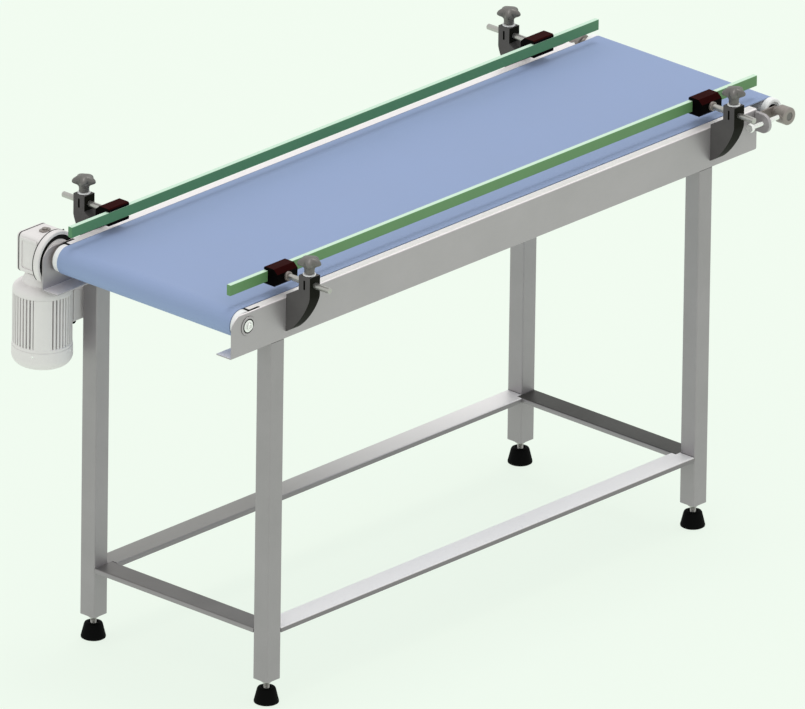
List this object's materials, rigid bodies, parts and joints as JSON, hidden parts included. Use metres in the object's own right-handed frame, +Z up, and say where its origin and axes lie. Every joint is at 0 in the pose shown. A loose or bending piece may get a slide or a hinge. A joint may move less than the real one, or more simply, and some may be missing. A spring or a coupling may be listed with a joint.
{
  "type": "belt conveyor section",
  "caption": "Flat belt conveyor section on a braced four-leg stand, with side frames, adjustable guide rails, screw take-up and a right-angle gearmotor.",
  "frame": {"origin": "on the floor, at the centre of the whole object's box", "axes": "+X from the drive end to the tail end, +Y to the gearmotor side, +Z up"},
  "size_m": [1.6, 0.704, 0.94],
  "materials": {
    "stainless": "brushed stainless sheet",
    "steel": "bright turned steel",
    "zinc": "zinc plated",
    "belt": "smooth blue-grey belt",
    "white_plastic": "white plastic",
    "cast_grey": "painted casting, light warm grey",
    "dark_cast": "dark grey cast bracket",
    "black_plastic": "glossy black plastic",
    "rubber": "matt black rubber",
    "knob_grey": "satin grey",
    "green": "green wear strip plastic"
  },
  "bodies": {
    "base": {"brace_back": "stainless", "brace_drive": "stainless", "brace_front": "stainless", "brace_tail": "stainless", "cable_gland": "black_plastic", "conveyor_belt": "belt", "cross_tie_drive": "stainless", "cross_tie_tail": "stainless", "drive_bearing_back": "zinc", "drive_bearing_front": "zinc", "fan_cover": "cast_grey", "gearbox_cover": "cast_grey", "gearbox_housing": "cast_grey", "leg_drive_back": "stainless", "leg_drive_front": "stainless", "leg_tail_back": "stainless", "leg_tail_front": "stainless", "motor_body": "cast_grey", "motor_flange": "cast_grey", "output_flange": "cast_grey", "rail_bracket_drive_back": "dark_cast", "rail_bracket_drive_front": "dark_cast", "rail_bracket_tail_back": "dark_cast", "rail_bracket_tail_front": "dark_cast", "side_frame_back": "stainless", "side_frame_front": "stainless", "slider_bed": "stainless", "take_up_lug_back": "stainless", "take_up_lug_front": "stainless", "terminal_box": "cast_grey", "vent_plug": "cast_grey"},
    "drive": {"drive_pulley": "white_plastic", "drive_shaft": "steel", "bevel_gear": "steel"},
    "motor_rotor": {"motor_rotor": "steel"},
    "return_roller": {"return_roller": "zinc"},
    "take_up": {"tail_shaft": "steel", "take_up_block_front": "zinc", "take_up_block_back": "zinc"},
    "tail_pulley": {"tail_pulley": "white_plastic"},
    "take_up_screw_front": {"take_up_screw_front": "steel"},
    "rail_front": {"guide_rail_front": "green", "rail_clamp_drive_front": "black_plastic", "rail_clamp_tail_front": "black_plastic", "rail_rod_drive_front": "steel", "rail_rod_tail_front": "steel"},
    "knob_drive_front": {"star_knob_drive_front": "knob_grey"},
    "foot_drive_front": {"levelling_foot_drive_front": "rubber"},
    "knob_tail_front": {"star_knob_tail_front": "knob_grey"},
    "foot_tail_front": {"levelling_foot_tail_front": "rubber"},
    "take_up_screw_back": {"take_up_screw_back": "steel"},
    "rail_back": {"guide_rail_back": "green", "rail_clamp_drive_back": "black_plastic", "rail_clamp_tail_back": "black_plastic", "rail_rod_drive_back": "steel", "rail_rod_tail_back": "steel"},
    "knob_drive_back": {"star_knob_drive_back": "knob_grey"},
    "foot_drive_back": {"levelling_foot_drive_back": "rubber"},
    "knob_tail_back": {"star_knob_tail_back": "knob_grey"},
    "foot_tail_back": {"levelling_foot_tail_back": "rubber"}
  },
  "joints": [
    {"name": "drive_turn", "type": "hinge", "parent": "base", "child": "drive", "pos_m": [-0.74, 0, 0.818], "axis": [0, 1, 0], "continuous": true},
    {"name": "motor_rotor_turn", "type": "hinge", "parent": "base", "child": "motor_rotor", "pos_m": [-0.74, 0.291, 0.68], "axis": [0, 0, 1], "continuous": true},
    {"name": "return_roller_turn", "type": "hinge", "parent": "base", "child": "return_roller", "pos_m": [0.30024, 0, 0.78388], "axis": [0, 1, 0], "continuous": true},
    {"name": "take_up_slide", "type": "slide", "parent": "base", "child": "take_up", "axis": [1, 0, 0], "range_m": [-0.006, 0]},
    {"name": "tail_pulley_turn", "type": "hinge", "parent": "take_up", "child": "tail_pulley", "pos_m": [0.7755, 0, 0.8225], "axis": [0, 1, 0], "continuous": true},
    {"name": "take_up_screw_front_turn", "type": "hinge", "parent": "take_up", "child": "take_up_screw_front", "pos_m": [0.7, -0.27, 0.8225], "axis": [1, 0, 0], "range_deg": [-1081, 0]},
    {"name": "rail_front_slide", "type": "slide", "parent": "base", "child": "rail_front", "axis": [0, -1, 0], "range_m": [-0.03, 0.025]},
    {"name": "knob_drive_front_turn", "type": "hinge", "parent": "base", "child": "knob_drive_front", "pos_m": [-0.619, -0.297, 0.92], "axis": [0, 0, 1], "range_deg": [0, 180]},
    {"name": "foot_drive_front_turn", "type": "hinge", "parent": "base", "child": "foot_drive_front", "pos_m": [-0.653, -0.2293, 0.03], "axis": [0, 0, 1], "range_deg": [0, 360]},
    {"name": "knob_tail_front_turn", "type": "hinge", "parent": "base", "child": "knob_tail_front", "pos_m": [0.597, -0.297, 0.92], "axis": [0, 0, 1], "range_deg": [0, 180]},
    {"name": "foot_tail_front_turn", "type": "hinge", "parent": "base", "child": "foot_tail_front", "pos_m": [0.5745, -0.2293, 0.03], "axis": [0, 0, 1], "range_deg": [0, 360]},
    {"name": "take_up_screw_back_turn", "type": "hinge", "parent": "take_up", "child": "take_up_screw_back", "pos_m": [0.7, 0.27, 0.8225], "axis": [1, 0, 0], "range_deg": [-1081, 0]},
    {"name": "rail_back_slide", "type": "slide", "parent": "base", "child": "rail_back", "axis": [0, 1, 0], "range_m": [-0.03, 0.025]},
    {"name": "knob_drive_back_turn", "type": "hinge", "parent": "base", "child": "knob_drive_back", "pos_m": [-0.619, 0.297, 0.92], "axis": [0, 0, 1], "range_deg": [0, 180]},
    {"name": "foot_drive_back_turn", "type": "hinge", "parent": "base", "child": "foot_drive_back", "pos_m": [-0.653, 0.2293, 0.03], "axis": [0, 0, 1], "range_deg": [0, 360]},
    {"name": "knob_tail_back_turn", "type": "hinge", "parent": "base", "child": "knob_tail_back", "pos_m": [0.597, 0.297, 0.92], "axis": [0, 0, 1], "range_deg": [0, 180]},
    {"name": "foot_tail_back_turn", "type": "hinge", "parent": "base", "child": "foot_tail_back", "pos_m": [0.5745, 0.2293, 0.03], "axis": [0, 0, 1], "range_deg": [0, 360]}
  ],
  "couplings": [
    {"joint": "motor_rotor_turn", "follows": "drive_turn", "ratio": -3},
    {"joint": "return_roller_turn", "follows": "drive_turn", "ratio": -2.5},
    {"joint": "tail_pulley_turn", "follows": "drive_turn", "ratio": 1.1957},
    {"joint": "take_up_screw_front_turn", "follows": "take_up_slide", "rad_per_m": 3141.6},
    {"joint": "take_up_screw_back_turn", "follows": "take_up_slide", "rad_per_m": 3141.6}
  ]
}
